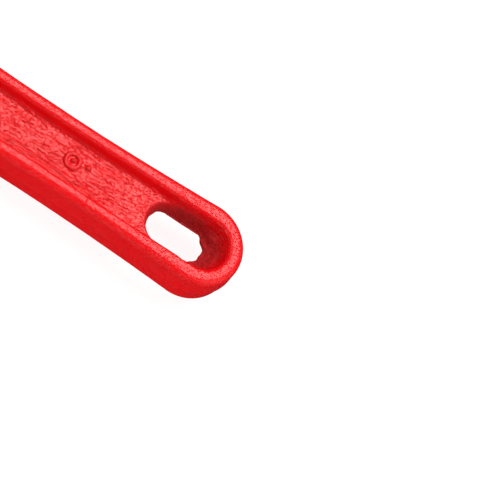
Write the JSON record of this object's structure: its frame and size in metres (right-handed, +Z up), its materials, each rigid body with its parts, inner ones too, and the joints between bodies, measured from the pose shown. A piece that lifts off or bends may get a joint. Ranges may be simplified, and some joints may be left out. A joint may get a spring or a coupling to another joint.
{
  "type": "pipe wrench",
  "caption": "Straight pipe wrench with a one-piece cast I-beam handle and housing, a threaded rocking hook jaw moved by a knurled nut, and a pinned heel jaw.",
  "frame": {"origin": "middle of the wrench's box at rest, on the surface it lies on", "axes": "+X along the handle towards the jaws, +Y towards the open side of the jaws, +Z up through the thickness"},
  "size_m": [0.1798, 0.0468, 0.0196],
  "materials": {
    "red_paint": "glossy enamel over rough cast iron",
    "jaw_steel": "forged, oil blackened, with bright machined teeth",
    "nut_steel": "turned and knurled",
    "spring_steel": "blued spring steel",
    "pin_steel": "ground"
  },
  "bodies": {
    "frame": {"handle": "red_paint", "heel_jaw": "jaw_steel", "heel_jaw_pin": "pin_steel", "spring_pin": "pin_steel"},
    "rocker": {"flat_spring": "spring_steel", "coil_spring": "spring_steel"},
    "nut": {"adjusting_nut": "nut_steel"},
    "jaw": {"hook_jaw": "jaw_steel"}
  },
  "joints": [
    {"name": "jaw_rock", "type": "hinge", "parent": "frame", "child": "rocker", "pos_m": [0.02583, -0.01013, 0.0098], "axis": [0, 0, 1], "range_deg": [0, 3], "stiffness_Nm_per_rad": 2, "springref_deg": -2.01, "deforming": ["flat_spring", "coil_spring"]},
    {"name": "nut_spin", "type": "hinge", "parent": "rocker", "child": "nut", "pos_m": [0.02583, -0.01013, 0.0098], "axis": [1, 0, 0], "range_deg": [-2520, 1410]},
    {"name": "jaw_slide", "type": "slide", "parent": "rocker", "child": "jaw", "axis": [1, 0, 0], "range_m": [-0.01176, 0.02101]}
  ],
  "couplings": [
    {"joint": "jaw_slide", "follows": "nut_spin", "m_per_rad": -0.00047746}
  ]
}
